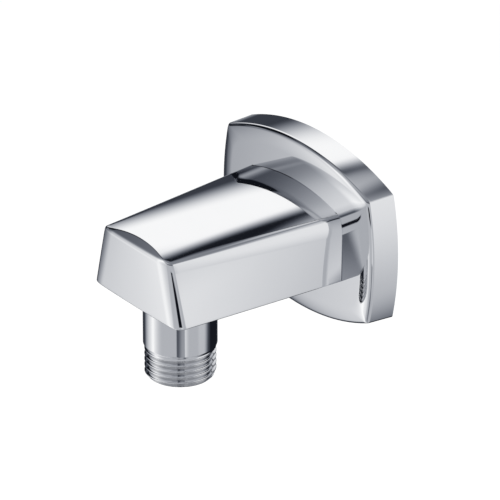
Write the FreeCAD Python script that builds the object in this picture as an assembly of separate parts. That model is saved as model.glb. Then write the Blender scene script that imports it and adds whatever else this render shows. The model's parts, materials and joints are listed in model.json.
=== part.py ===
import FreeCAD, Part
import math
import os

from FreeCAD import Vector

# Wall outlet elbow for a shower hose, in millimetres.
# The wall is the plane y = 0, the arm points out along -Y, the hose hangs down along -Z,
# and the origin is on the inlet's axis in the wall plane.

# Pipe thread, half inch parallel, shared by the inlet and the outlet, solid up to its crests
THREAD_DIAMETER = 20.955
THREAD_CHAMFER = 1.0

# Cover plate
PLATE_DEPTH = 9.8
PLATE_WIDTH = 73.7
PLATE_HEIGHT = 53.5
PLATE_SIDE_BOW = 2.4
PLATE_TOP_BOW = 7.2
PLATE_DRAFT = 0.35
PLATE_FACE_ROLL = 4.2
PLATE_FACE_ROLL_ANGLE = 14.0
PLATE_EDGE_RADIUS = 1.3
PLATE_CORNER_RADIUS = 0.9
PLATE_CORNER_X = PLATE_WIDTH / 2 - PLATE_SIDE_BOW
PLATE_CORNER_Z = PLATE_HEIGHT / 2 - PLATE_TOP_BOW
PLATE_RIM_WALL = 4.6
PLATE_FACE_WALL = 2.6
HUB_WALL = 1.8
HUB_BACK = 3.8
HUB_CLEARANCE = 0.15

# Soft gasket in the back of the plate's rim
GASKET_WIDTH = 2.2
GASKET_DEPTH = 2.4

# Arm, its section where it meets the plate
ARM_BOTTOM = 10.0
WALL_FOOT_X = 22.9
WALL_EDGE_X = 22.0
WALL_EDGE_Z = 10.5
WALL_CROWN = 3.65
WALL_ROLL_HEIGHT = 5.4
WALL_ROLL_INSET = 1.2

# Arm, its section at the front
ARM_REACH = 67.4
FRONT_FOOT_X = 21.3
FRONT_EDGE_X = 15.9
FRONT_EDGE_Z = 9.1
FRONT_CROWN = 1.75
FRONT_ROLL_HEIGHT = 2.6
FRONT_ROLL_INSET = 0.9
FRONT_TOP_RADIUS = 5.0
FRONT_TOP_START = 1.4
FRONT_TOP_TURN = 70.0
FRONT_BOW = 0.2
FRONT_SIDE_ROLL = 5.2
FRONT_SIDE_RADIUS = 16.0
FRONT_CORNER_TOP = 1.9
FRONT_CORNER_FOOT = 3.2
ARM_CREST_RADIUS = 0.5
ARM_FOOT_RADIUS = 0.4

# Share by which a shape that is trimmed afterwards runs past its mark, and how far a cut does
OVERRUN_SHARE = 1.08
OVERRUN = 1.0

# Nearness at which two places count as the same
SAME_PLACE = 0.01

# Steps in which the plate's rolled edge and face are lofted
EDGE_STEPS = 5
FACE_STEPS = 3

# Connector in the wall, on which the arm slides
CONNECTOR_DIAMETER = 14.0
CONNECTOR_END = 33.0
CONNECTOR_THREAD_LENGTH = 14.0
CONNECTOR_COLLAR_DIAMETER = 24.0
CONNECTOR_COLLAR = 3.0
CONNECTOR_BORE = 8.0
CONNECTOR_MOUTH_BORE = 13.0
CONNECTOR_KEY = 8.5
CONNECTOR_KEY_DEPTH = 5.0
CONNECTOR_CHAMFER = 0.6
SLIDE_CLEARANCE = 0.08
END_CLEARANCE = 0.4

# Rubber rings
RING_SECTION = 1.5
RING_GROOVE_WIDTH = 2.0
RING_SETBACK = 6.4
RING_SPACING = 4.2
RING_FRONT_Y = CONNECTOR_END - RING_SETBACK
RING_REAR_Y = RING_FRONT_Y - RING_SPACING
RING_PLAY = 0.04

# Spigot at the arm's back, through the plate's hub
SPIGOT_DIAMETER = 17.4
SPIGOT_GAP = 0.3
SPIGOT_BACK = CONNECTOR_COLLAR + SPIGOT_GAP
HUB_RING_SECTION = 1.8

# Locking screw under the arm
SCREW_DIAMETER = 5.0
SCREW_LENGTH = 3.6
SCREW_Y = 16.0
SCREW_RECESS = 0.3
SCREW_KEY = 2.5
SCREW_KEY_DEPTH = 1.8
SCREW_POINT = 1.1
LOCK_GROOVE_DEPTH = 1.2
LOCK_GROOVE_WIDTH = 3.4
SCREW_CLEARANCE = 0.05

# Outlet tube, set back from the arm's front
OUTLET_SETBACK = 16.4
OUTLET_Y = ARM_REACH - OUTLET_SETBACK
OUTLET_SHANK_DIAMETER = 21.7
OUTLET_LENGTH = 26.3
OUTLET_THREAD_LENGTH = 9.9
OUTLET_SPIGOT_DIAMETER = 16.6
OUTLET_SPIGOT_LENGTH = 7.5
OUTLET_BORE = 13.8
OUTLET_BORE_DEPTH = 14.0
OUTLET_KEY = 10.0
OUTLET_KEY_LAND = 0.2
OUTLET_MOUTH_CHAMFER = 0.6
OUTLET_RING_SECTION = 1.4
OUTLET_CLEARANCE = 0.06

# Water way inside the arm
WATERWAY_DIAMETER = 9.0
CHAMBER_DIAMETER = 12.0
CHAMBER_TOP = 4.0


def lerp(a, b, t):
    """Value a share t of the way from a to b."""
    return a + (b - a) * t


def cylinder_y(radius, y_from, y_to):
    """Round bar along Y between two distances from the wall, counted outwards."""
    start = Vector(0, -min(y_from, y_to), 0)
    return Part.makeCylinder(radius, abs(y_to - y_from), start, Vector(0, -1, 0))


def cylinder_z(radius, z_from, z_to, y_out):
    """Upright round bar at a distance y_out from the wall."""
    foot = Vector(0, -y_out, min(z_from, z_to))
    return Part.makeCylinder(radius, abs(z_to - z_from), foot, Vector(0, 0, 1))


def key_corner(across_flats):
    """Distance from a hexagon's middle to its corners."""
    return across_flats / 2 / math.cos(math.radians(30))


def hexagon(across_flats, start, direction, length):
    """Six-sided bar from a start point along a direction."""
    corner = key_corner(across_flats)
    points = []
    for i in range(7):
        angle = math.radians(60 * i)
        points.append(Vector(corner * math.cos(angle), corner * math.sin(angle), 0))
    bar = Part.Face(Part.makePolygon(points)).extrude(Vector(0, 0, length))
    bar.Placement = FreeCAD.Placement(start, FreeCAD.Rotation(Vector(0, 0, 1), direction))
    return bar


def arc_edge(a, b, c):
    """Arc from a over b to c."""
    return Part.Arc(a, b, c).toShape()


def bow_radius(half_chord, bow):
    """Radius of an arc from its half chord and its bow."""
    return (half_chord ** 2 + bow ** 2) / (2 * bow)


def plate_outline(inset, y_out):
    """Four bowed sides, moved in by inset, at a distance y_out from the wall."""
    top_radius = bow_radius(PLATE_CORNER_X, PLATE_TOP_BOW)
    side_radius = bow_radius(PLATE_CORNER_Z, PLATE_SIDE_BOW)
    top_mid = PLATE_CORNER_Z + PLATE_TOP_BOW
    side_mid = PLATE_CORNER_X + PLATE_SIDE_BOW
    top_centre = top_mid - top_radius
    side_centre = side_mid - side_radius
    # The corner is where the two inset circles cross
    r_top = top_radius - inset
    r_side = side_radius - inset
    gap = math.hypot(side_centre, top_centre)
    along = (gap ** 2 + r_top ** 2 - r_side ** 2) / (2 * gap)
    across = math.sqrt(r_top ** 2 - along ** 2)
    ux, uz = side_centre / gap, -top_centre / gap
    x = along * ux + across * -uz
    z = top_centre + along * uz + across * ux
    if x < 0 or z < 0:
        x = along * ux - across * -uz
        z = top_centre + along * uz - across * ux
    y = -y_out
    corners = [Vector(-x, y, z), Vector(x, y, z), Vector(x, y, -z), Vector(-x, y, -z)]
    middles = [
        Vector(0, y, top_mid - inset),
        Vector(side_mid - inset, y, 0),
        Vector(0, y, inset - top_mid),
        Vector(inset - side_mid, y, 0),
    ]
    edges = []
    for i in range(4):
        edges.append(arc_edge(corners[i], middles[i], corners[(i + 1) % 4]))
    return Part.Wire(edges)


def plate_slab(inset, depth):
    """Upright-sided block with the plate's outline moved in, from the wall to a depth."""
    return Part.makeLoft([plate_outline(inset, 0), plate_outline(inset, depth)], True, True)


def plate_block():
    """Outside of the plate: drafted rim, tight edge, and a face that rolls gently to the edge."""
    roll = math.radians(PLATE_FACE_ROLL_ANGLE)
    roll_radius = PLATE_FACE_ROLL / math.sin(roll)
    roll_drop = roll_radius * (1 - math.cos(roll))
    rim_depth = PLATE_DEPTH - roll_drop - PLATE_EDGE_RADIUS * math.cos(roll)
    rim = Part.makeLoft([plate_outline(0, 0), plate_outline(PLATE_DRAFT, rim_depth)], True, True)
    edge = []
    for step in range(EDGE_STEPS + 1):
        angle = lerp(math.pi / 2, roll, step / EDGE_STEPS)
        inset = PLATE_DRAFT + PLATE_EDGE_RADIUS * (1 - math.sin(angle))
        depth = rim_depth + PLATE_EDGE_RADIUS * math.cos(angle)
        edge.append(plate_outline(inset, depth))
    face = []
    tight_width = PLATE_EDGE_RADIUS * (1 - math.sin(roll))
    for step in range(FACE_STEPS + 1):
        angle = lerp(roll, 0, step / FACE_STEPS)
        inset = PLATE_DRAFT + tight_width + PLATE_FACE_ROLL - roll_radius * math.sin(angle)
        depth = PLATE_DEPTH - roll_radius * (1 - math.cos(angle))
        face.append(plate_outline(inset, depth))
    block = rim.fuse([Part.makeLoft(edge, True, False), Part.makeLoft(face, True, False)])
    block = block.removeSplitter()
    corner_edges = [e for e in block.Edges if is_rim_corner(e)]
    return block.makeFillet(PLATE_CORNER_RADIUS, corner_edges)


def is_rim_corner(edge):
    """True for the four straight edges where two sides of the rim meet."""
    box = edge.BoundBox
    middle = box.Center
    away = abs(middle.x) > PLATE_CORNER_X / 2 and abs(middle.z) > PLATE_CORNER_Z / 2
    return away and box.YLength > PLATE_DEPTH / 2


def wall_plate():
    """Hollow-backed cover plate with a hub for the arm's spigot."""
    cavity = plate_slab(PLATE_RIM_WALL, PLATE_DEPTH - PLATE_FACE_WALL)
    gasket_seat = plate_slab(PLATE_RIM_WALL - GASKET_WIDTH, GASKET_DEPTH)
    hub_inner = SPIGOT_DIAMETER / 2 + HUB_CLEARANCE
    ring_seat = SPIGOT_DIAMETER / 2 + HUB_RING_SECTION + 2 * RING_PLAY
    hub = cylinder_y(ring_seat + HUB_WALL, HUB_BACK, PLATE_DEPTH - PLATE_FACE_WALL)
    plate = plate_block().cut([cavity, gasket_seat]).fuse(hub)
    window = cylinder_y(hub_inner, 0, PLATE_DEPTH + OVERRUN)
    ring_bore = cylinder_y(ring_seat, 0, HUB_BACK + HUB_RING_SECTION + RING_PLAY)
    return plate.cut([window, ring_bore]).removeSplitter()


def plate_gasket():
    """Soft frame that fills the seat inside the plate's rim."""
    outer = plate_slab(PLATE_RIM_WALL - GASKET_WIDTH, GASKET_DEPTH)
    return outer.cut(plate_slab(PLATE_RIM_WALL, GASKET_DEPTH))


def arm_section(t):
    """Section of the arm a share t of the way from the plate to the front."""
    foot_x = lerp(WALL_FOOT_X, FRONT_FOOT_X, t)
    edge_x = lerp(WALL_EDGE_X, FRONT_EDGE_X, t)
    edge_z = lerp(WALL_EDGE_Z, FRONT_EDGE_Z, t)
    crown = lerp(WALL_CROWN, FRONT_CROWN, t)
    roll_height = lerp(WALL_ROLL_HEIGHT, FRONT_ROLL_HEIGHT, t)
    roll_inset = lerp(WALL_ROLL_INSET, FRONT_ROLL_INSET, t)
    y = -lerp(PLATE_DEPTH, ARM_REACH, t)
    foot = Vector(foot_x, y, -ARM_BOTTOM)
    start = Vector(edge_x + roll_inset, y, edge_z - roll_height)
    edge = Vector(edge_x, y, edge_z)
    # The roll leaves the straight side smoothly and ends at the crest
    side = (start - foot).normalize()
    inward = Vector(-side.z, 0, side.x)
    chord = edge - start
    radius = chord.Length ** 2 / (2 * chord.dot(inward))
    centre = start + inward * radius
    half_way = ((start - centre) + (edge - centre)).normalize() * radius + centre
    top = Vector(0, y, edge_z + crown)

    def left(point):
        return Vector(-point.x, point.y, point.z)

    return Part.Wire([
        Part.LineSegment(left(foot), foot).toShape(),
        Part.LineSegment(foot, start).toShape(),
        arc_edge(start, half_way, edge),
        arc_edge(edge, top, left(edge)),
        arc_edge(left(edge), left(half_way), left(start)),
        Part.LineSegment(left(start), left(foot)).toShape(),
    ])


def front_half_width(z):
    """Distance from the middle of the front to where its side would meet it, at a height."""
    roll_start = FRONT_EDGE_Z - FRONT_ROLL_HEIGHT
    climb = (z + ARM_BOTTOM) / (roll_start + ARM_BOTTOM)
    return lerp(FRONT_FOOT_X, FRONT_EDGE_X + FRONT_ROLL_INSET, climb)


def front_setback(share, z):
    """How far the front lies back at a share of its half width: a slight bow, then a soft roll."""
    width = front_half_width(z)
    roll_from = width - FRONT_SIDE_ROLL
    x = abs(share) * width
    if x < roll_from:
        return FRONT_BOW * (x / roll_from) ** 2
    start = math.atan(2 * FRONT_BOW / roll_from)
    turned = math.asin(math.sin(start) + (min(x, width) - roll_from) / FRONT_SIDE_RADIUS)
    rolled = FRONT_BOW + FRONT_SIDE_RADIUS * (math.cos(start) - math.cos(turned))
    return rolled + max(0, x - width) * math.tan(turned)


def front_profile(share):
    """Side view of the front at a share of its half width: upright, then rolling back at the top."""
    high = WALL_EDGE_Z + WALL_CROWN + FRONT_TOP_RADIUS
    start_z = FRONT_EDGE_Z - FRONT_TOP_START
    foot_y = front_setback(share, -ARM_BOTTOM) - ARM_REACH
    start_y = front_setback(share, start_z) - ARM_REACH
    lean = math.atan2(start_y - foot_y, start_z + ARM_BOTTOM)

    def place(y, z):
        return Vector(share * front_half_width(z), y, z)

    def on_roll(angle):
        along = FRONT_TOP_RADIUS * math.sin(angle)
        back = FRONT_TOP_RADIUS * (1 - math.cos(angle))
        y = start_y + along * math.sin(lean) + back * math.cos(lean)
        return place(y, start_z + along * math.cos(lean) - back * math.sin(lean))

    turn = math.radians(FRONT_TOP_TURN)
    start, end = place(start_y, start_z), on_roll(turn)
    low_y = foot_y - (high - ARM_BOTTOM) * math.tan(lean)
    corners = [place(0, -high), place(low_y, -high), start]
    lines = [Part.LineSegment(a, b).toShape() for a, b in zip(corners, corners[1:])]
    rest = [end, place(end.y, high), place(0, high), corners[0]]
    lines.append(arc_edge(start, on_roll(turn / 2), end))
    lines += [Part.LineSegment(a, b).toShape() for a, b in zip(rest, rest[1:])]
    return Part.Wire(lines)


def front_trim():
    """Everything behind the front face, lofted across the arm from its side views."""
    roll_from = 1 - FRONT_SIDE_ROLL / FRONT_FOOT_X
    wide = 2 * WALL_EDGE_X / FRONT_EDGE_X - 1
    third = (1 - roll_from) / 3
    right = [roll_from / 2, roll_from, roll_from + third, 1 - third, 1, 1 + 2 * third, wide]
    shares = [-share for share in reversed(right)] + [0] + right
    return Part.makeLoft([front_profile(share) for share in shares], True, False)


def rounded(shape, edges):
    """Shape with some edges rounded; each entry is an edge's number and its radius at each end."""
    document = FreeCAD.newDocument()
    base = document.addObject("Part::Feature", "base")
    base.Shape = shape
    result = document.addObject("Part::Fillet", "rounded")
    result.Base = base
    result.Edges = edges
    document.recompute()
    solid = result.Shape.copy()
    FreeCAD.closeDocument(document.Name)
    return solid


def front_corner_radius(z):
    """The upright front corners are tight at the crest and open out towards the foot."""
    height = FRONT_EDGE_Z + ARM_BOTTOM
    return lerp(FRONT_CORNER_FOOT, FRONT_CORNER_TOP, min(1, max(0, (z + ARM_BOTTOM) / height)))


def arm_edge_radii(edge):
    """Radius at each end of one of the arm's edges, or None where it stays as it is."""
    first, last = edge.Vertexes[0].Point, edge.Vertexes[-1].Point
    box = edge.BoundBox
    near_front = box.YMax < -ARM_REACH + FRONT_TOP_RADIUS
    at_plate = box.YMin > -PLATE_DEPTH - SAME_PLACE
    if at_plate:
        return None
    if near_front and first.x * last.x > 0:
        return front_corner_radius(first.z), front_corner_radius(last.z)
    if box.ZMax < SAME_PLACE - ARM_BOTTOM:
        return ARM_FOOT_RADIUS, ARM_FOOT_RADIUS
    if min(first.z, last.z) > FRONT_EDGE_Z - SAME_PLACE:
        return ARM_CREST_RADIUS, ARM_CREST_RADIUS
    return None


def arm_block():
    """Outside of the arm: straight sections from plate to front, trimmed and rounded."""
    sections = [arm_section(0), arm_section(OVERRUN_SHARE)]
    block = Part.makeLoft(sections, True, True).common(front_trim())
    edges = []
    for number, edge in enumerate(block.Edges, 1):
        radii = arm_edge_radii(edge)
        if radii:
            edges.append((number, radii[0], radii[1]))
    return rounded(block, edges)


def arm_body():
    """Arm with its rear spigot, the socket for the connector, the water way and the outlet's seat."""
    foot = -ARM_BOTTOM
    below = foot - OVERRUN
    spigot = OUTLET_SPIGOT_DIAMETER / 2
    seat_top = foot + OUTLET_SPIGOT_LENGTH + END_CLEARANCE
    ring_room = OUTLET_RING_SECTION + 2 * RING_PLAY
    body = arm_block().fuse(cylinder_y(SPIGOT_DIAMETER / 2, SPIGOT_BACK, CONNECTOR_END))
    return body.cut([
        cylinder_y(CONNECTOR_DIAMETER / 2 + SLIDE_CLEARANCE, 0, CONNECTOR_END + END_CLEARANCE),
        cylinder_y(WATERWAY_DIAMETER / 2, CONNECTOR_END, OUTLET_Y),
        cylinder_z(CHAMBER_DIAMETER / 2, foot, CHAMBER_TOP, OUTLET_Y),
        Part.makeSphere(CHAMBER_DIAMETER / 2, Vector(0, -OUTLET_Y, CHAMBER_TOP)),
        cylinder_z(spigot + OUTLET_CLEARANCE, below, seat_top, OUTLET_Y),
        cylinder_z(spigot + ring_room, below, foot + ring_room, OUTLET_Y),
        cylinder_z(SCREW_DIAMETER / 2 + SCREW_CLEARANCE, below, 0, SCREW_Y),
    ])


def turned_y(profile):
    """Solid turned about the inlet's axis; the profile lists radius and distance from the wall."""
    points = [Vector(radius, -y_out, 0) for radius, y_out in profile]
    points.append(points[0])
    return Part.Face(Part.makePolygon(points)).revolve(Vector(0, 0, 0), Vector(0, 1, 0), 360)


def turned_z(profile):
    """Solid turned about the outlet's axis; the profile lists radius and height."""
    points = [Vector(radius, -OUTLET_Y, height) for radius, height in profile]
    points.append(points[0])
    return Part.Face(Part.makePolygon(points)).revolve(Vector(0, -OUTLET_Y, 0), Vector(0, 0, 1), 360)


def ring_y(inner_radius, section, y_out):
    """Rubber ring about the inlet's axis."""
    centre = inner_radius + RING_PLAY + section / 2
    return Part.makeTorus(centre, section / 2, Vector(0, -y_out, 0), Vector(0, 1, 0))


def groove_radius():
    """Foot of the ring grooves, so that a ring just fills the room to the socket's wall."""
    return CONNECTOR_DIAMETER / 2 + SLIDE_CLEARANCE - RING_SECTION - 2 * RING_PLAY


def wall_nipple():
    """Connector: thread into the wall, collar, and a plain end with grooves for rings and screw."""
    thread = THREAD_DIAMETER / 2
    plain = CONNECTOR_DIAMETER / 2
    bore = CONNECTOR_BORE / 2
    mouth = CONNECTOR_MOUTH_BORE / 2
    half = RING_GROOVE_WIDTH / 2
    lock_foot = plain - LOCK_GROOVE_DEPTH
    profile = [
        (mouth, -CONNECTOR_THREAD_LENGTH),
        (thread - THREAD_CHAMFER, -CONNECTOR_THREAD_LENGTH),
        (thread, THREAD_CHAMFER - CONNECTOR_THREAD_LENGTH),
        (thread, 0),
        (CONNECTOR_COLLAR_DIAMETER / 2, 0),
        (CONNECTOR_COLLAR_DIAMETER / 2, CONNECTOR_COLLAR),
        (plain, CONNECTOR_COLLAR),
        (plain, SCREW_Y - LOCK_GROOVE_WIDTH / 2 - LOCK_GROOVE_DEPTH),
        (lock_foot, SCREW_Y - LOCK_GROOVE_WIDTH / 2),
        (lock_foot, SCREW_Y + LOCK_GROOVE_WIDTH / 2),
        (plain, SCREW_Y + LOCK_GROOVE_WIDTH / 2 + LOCK_GROOVE_DEPTH),
    ]
    for centre in (RING_REAR_Y, RING_FRONT_Y):
        profile += [
            (plain, centre - half),
            (groove_radius(), centre - half),
            (groove_radius(), centre + half),
            (plain, centre + half),
        ]
    profile += [
        (plain, CONNECTOR_END - CONNECTOR_CHAMFER),
        (plain - CONNECTOR_CHAMFER, CONNECTOR_END),
        (bore, CONNECTOR_END),
        (bore, mouth - bore),
        (mouth, 0),
    ]
    key = hexagon(CONNECTOR_KEY, Vector(0, -CONNECTOR_END, 0), Vector(0, 1, 0), CONNECTOR_KEY_DEPTH)
    return turned_y(profile).cut(key)


def set_screw():
    """Grub screw with a cone point that sits in the connector's groove."""
    radius = SCREW_DIAMETER / 2
    foot = SCREW_RECESS - ARM_BOTTOM
    shank_length = SCREW_LENGTH - SCREW_POINT
    shank = Part.makeCylinder(radius, shank_length, Vector(0, -SCREW_Y, foot))
    tip = Vector(0, -SCREW_Y, foot + shank_length)
    point = Part.makeCone(radius, radius - SCREW_POINT, SCREW_POINT, tip)
    key = hexagon(SCREW_KEY, Vector(0, -SCREW_Y, foot), Vector(0, 0, 1), SCREW_KEY_DEPTH)
    return shank.fuse(point).cut(key).removeSplitter()


def outlet_nipple():
    """Turned outlet tube: spigot in the arm, plain shank and the hose thread's crest."""
    foot = -ARM_BOTTOM
    end = foot - OUTLET_LENGTH
    shank = OUTLET_SHANK_DIAMETER / 2
    thread = THREAD_DIAMETER / 2
    spigot = OUTLET_SPIGOT_DIAMETER / 2
    bore = OUTLET_BORE / 2
    bore_top = end + OUTLET_BORE_DEPTH
    pilot = OUTLET_KEY / 2 - OUTLET_KEY_LAND
    tube = turned_z([
        (pilot, foot + OUTLET_SPIGOT_LENGTH),
        (spigot - OUTLET_MOUTH_CHAMFER, foot + OUTLET_SPIGOT_LENGTH),
        (spigot, foot + OUTLET_SPIGOT_LENGTH - OUTLET_MOUTH_CHAMFER),
        (spigot, foot),
        (shank, foot),
        (shank, end + OUTLET_THREAD_LENGTH + shank - thread),
        (thread, end + OUTLET_THREAD_LENGTH),
        (thread, end + THREAD_CHAMFER),
        (thread - THREAD_CHAMFER, end),
        (bore + OUTLET_MOUTH_CHAMFER, end),
        (bore, end + OUTLET_MOUTH_CHAMFER),
        (bore, bore_top),
        (pilot, bore_top + bore - key_corner(OUTLET_KEY)),
    ])
    key = hexagon(OUTLET_KEY, Vector(0, -OUTLET_Y, bore_top), Vector(0, 0, 1), OUTLET_LENGTH)
    return tube.cut(key)


def outlet_o_ring():
    """Ring round the outlet's spigot, pressed by its shoulder."""
    centre = OUTLET_SPIGOT_DIAMETER / 2 + RING_PLAY + OUTLET_RING_SECTION / 2
    height = OUTLET_RING_SECTION / 2 + RING_PLAY - ARM_BOTTOM
    return Part.makeTorus(centre, OUTLET_RING_SECTION / 2, Vector(0, -OUTLET_Y, height), Vector(0, 0, 1))


def pieces():
    """Every separate piece of the elbow, by its name."""
    return {
        "wall_plate": wall_plate(),
        "plate_gasket": plate_gasket(),
        "plate_o_ring": ring_y(SPIGOT_DIAMETER / 2, HUB_RING_SECTION, HUB_BACK + HUB_RING_SECTION / 2),
        "arm_body": arm_body(),
        "wall_nipple": wall_nipple(),
        "nipple_o_ring_rear": ring_y(groove_radius(), RING_SECTION, RING_REAR_Y),
        "nipple_o_ring_front": ring_y(groove_radius(), RING_SECTION, RING_FRONT_Y),
        "set_screw": set_screw(),
        "outlet_nipple": outlet_nipple(),
        "outlet_o_ring": outlet_o_ring(),
    }


os.makedirs("parts", exist_ok=True)
for name, shape in pieces().items():
    shape.exportStep("parts/" + name + ".step")
    print(name, shape.isValid(), len(shape.Solids), len(shape.Faces), round(shape.Volume, 1))
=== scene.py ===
# %% [markdown]
# # A wall outlet elbow for a shower hose
# The elbow screws into the wall, a bowed plate covers the hole, and a blunt arm carries the water
# out and down to a hose thread. Everything that shows is chromed brass, so the picture is made by
# two things only: the exact curve of each surface, and what the room round it looks like.
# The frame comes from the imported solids. The fine skins below are made to the same sizes.

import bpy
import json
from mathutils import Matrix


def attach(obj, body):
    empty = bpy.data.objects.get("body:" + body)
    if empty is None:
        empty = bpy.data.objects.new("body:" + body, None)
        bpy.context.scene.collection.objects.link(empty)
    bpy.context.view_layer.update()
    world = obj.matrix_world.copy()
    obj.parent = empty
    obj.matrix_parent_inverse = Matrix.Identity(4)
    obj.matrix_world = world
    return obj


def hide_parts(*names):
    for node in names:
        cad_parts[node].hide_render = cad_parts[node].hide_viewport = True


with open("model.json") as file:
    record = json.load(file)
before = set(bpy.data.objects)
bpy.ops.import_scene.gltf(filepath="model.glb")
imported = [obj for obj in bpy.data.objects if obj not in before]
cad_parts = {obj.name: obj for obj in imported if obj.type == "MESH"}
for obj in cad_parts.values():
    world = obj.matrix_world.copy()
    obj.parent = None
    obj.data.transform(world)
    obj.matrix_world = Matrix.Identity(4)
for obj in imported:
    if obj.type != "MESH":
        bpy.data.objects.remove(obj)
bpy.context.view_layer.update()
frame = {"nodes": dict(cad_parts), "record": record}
print("nodes:", ", ".join(sorted(frame["nodes"])))

# %% Modules and three small helpers
import json
import math

import bmesh
import bpy
from mathutils import Vector

MM = 0.001


def lerp(a, b, t):
    """Value a share t of the way from a to b."""
    return a + (b - a) * t


def smooth(t):
    """Share that starts and ends gently."""
    t = min(1.0, max(0.0, t))
    return t * t * (3 - 2 * t)


def add_object(name, data):
    """New object in the scene."""
    new = bpy.data.objects.new(name, data)
    bpy.context.scene.collection.objects.link(new)
    return new


# %% [markdown]
# ## The camera
# A long lens stands for a product photographer's: the arm hardly narrows towards the plate. The
# angle and the distance were solved from the edges that the picture shows.

# %% Camera
CAMERA_AZIMUTH = 53.632
CAMERA_HEIGHT = 25.983
CAMERA_DISTANCE = 1743.801
CAMERA_TARGET = Vector((0.224, -26.038, -3.865))
LENS = 432

camera_data = bpy.data.cameras.new("camera")
camera_data.lens = LENS
camera_data.sensor_width = 36
camera_data.clip_start = 0.05
camera_data.clip_end = 8
camera = add_object("camera", camera_data)
turn = math.radians(CAMERA_AZIMUTH)
tip = math.radians(CAMERA_HEIGHT)
look = Vector((-math.sin(turn) * math.cos(tip), math.cos(turn) * math.cos(tip), -math.sin(tip)))
camera.location = (CAMERA_TARGET - look * CAMERA_DISTANCE) * MM
camera.rotation_euler = (math.pi / 2 - tip, 0, turn)
bpy.context.scene.camera = camera
print("camera", [round(c, 3) for c in camera.location])

# %% [markdown]
# ## Skins made of rings
# The plate and both tubes are rings of points, one behind the other, each with the same number of
# points, joined into one closed skin. That gives clean, even faces, and a mirror finish shows
# every uneven one.


# %% A mesh from rings, and the finish of its edges
SHARP = math.radians(33)
MERGE_WITHIN = 2e-6
NO_LENGTH = 1e-7


def grid_faces(rows, columns, start=0, around=True, closed=False):
    """Four-sided faces of rows of points, which may be rings, and the last row may join the first."""
    faces = []
    for row in range(rows if closed else rows - 1):
        a, b = start + row * columns, start + (row + 1) % rows * columns
        for i in range(columns if around else columns - 1):
            j = (i + 1) % columns
            faces.append((a + i, a + j, b + j, b + i))
    return faces


def new_piece(name, points, faces):
    """Object with a mesh from points in millimetres, doubles merged and faces turned outwards."""
    mesh = bpy.data.meshes.new(name)
    mesh.from_pydata([Vector(p) * MM for p in points], [], faces)
    piece = add_object(name, mesh)
    clean(piece)
    return piece


def clean(piece):
    """Merge doubles, turn faces outwards and mark the sharp edges."""
    work = bmesh.new()
    work.from_mesh(piece.data)
    bmesh.ops.remove_doubles(work, verts=work.verts, dist=MERGE_WITHIN)
    bmesh.ops.dissolve_degenerate(work, dist=NO_LENGTH, edges=work.edges)
    bmesh.ops.recalc_face_normals(work, faces=work.faces)
    for face in work.faces:
        face.smooth = True
    for edge in work.edges:
        edge.smooth = len(edge.link_faces) == 2 and edge.calc_face_angle(0) < SHARP
    work.to_mesh(piece.data)
    work.free()


def settle(piece):
    """Turn the modifiers' result into the piece's own mesh."""
    graph = bpy.context.evaluated_depsgraph_get()
    graph.update()
    mesh = bpy.data.meshes.new_from_object(piece.evaluated_get(graph))
    piece.modifiers.clear()
    piece.data = mesh


def report(piece):
    """Print a piece's triangles and whether its skin is closed."""
    work = bmesh.new()
    work.from_mesh(piece.data)
    open_edges = sum(1 for e in work.edges if len(e.link_faces) != 2)
    triangles = sum(len(f.verts) - 2 for f in work.faces)
    volume = work.calc_volume(signed=True) * 1e6
    print(f"{piece.name}: {triangles} triangles, {open_edges} open edges, {volume:.2f} ml")
    work.free()


# %% [markdown]
# ## The cover plate's outline
# All four sides are bowed arcs. Moving an arc inwards only makes its radius smaller, so every
# inner ring of the plate is the same four arcs again, and the corner is where two of them cross.
# The round at the corner is found the same way, as the crossing of two arcs that lie further in.

# %% Outline sizes and the crossing of two arcs
PLATE_DEPTH = 9.8
PLATE_WIDTH = 73.7
PLATE_HEIGHT = 53.5
PLATE_SIDE_BOW = 2.4
PLATE_TOP_BOW = 7.2
PLATE_CORNER_X = PLATE_WIDTH / 2 - PLATE_SIDE_BOW
PLATE_CORNER_Z = PLATE_HEIGHT / 2 - PLATE_TOP_BOW


def bow_radius(half_chord, bow):
    """Radius of an arc from its half chord and its bow."""
    return (half_chord ** 2 + bow ** 2) / (2 * bow)


TOP_RADIUS = bow_radius(PLATE_CORNER_X, PLATE_TOP_BOW)
SIDE_RADIUS = bow_radius(PLATE_CORNER_Z, PLATE_SIDE_BOW)
TOP_CENTRE = PLATE_CORNER_Z + PLATE_TOP_BOW - TOP_RADIUS
SIDE_CENTRE = PLATE_CORNER_X + PLATE_SIDE_BOW - SIDE_RADIUS


def crossing(ax, az, a_radius, bx, bz, b_radius):
    """Crossing of two circles in the upper right quarter."""
    gap = math.hypot(bx - ax, bz - az)
    along = (gap ** 2 + a_radius ** 2 - b_radius ** 2) / (2 * gap)
    across = math.sqrt(a_radius ** 2 - along ** 2)
    ux, uz = (bx - ax) / gap, (bz - az) / gap
    both = [(ax + along * ux - side * uz, az + along * uz + side * ux) for side in (across, -across)]
    return max(both, key=min)


# %% One ring of the plate
TOP_STEPS = 44
SIDE_STEPS = 26
CORNER_STEPS = 8


def arc(x, z, radius, start, end, steps):
    """Points along an arc, without its last one."""
    angles = [lerp(start, end, i / steps) for i in range(steps)]
    return [(x + radius * math.cos(angle), z + radius * math.sin(angle)) for angle in angles]


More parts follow.
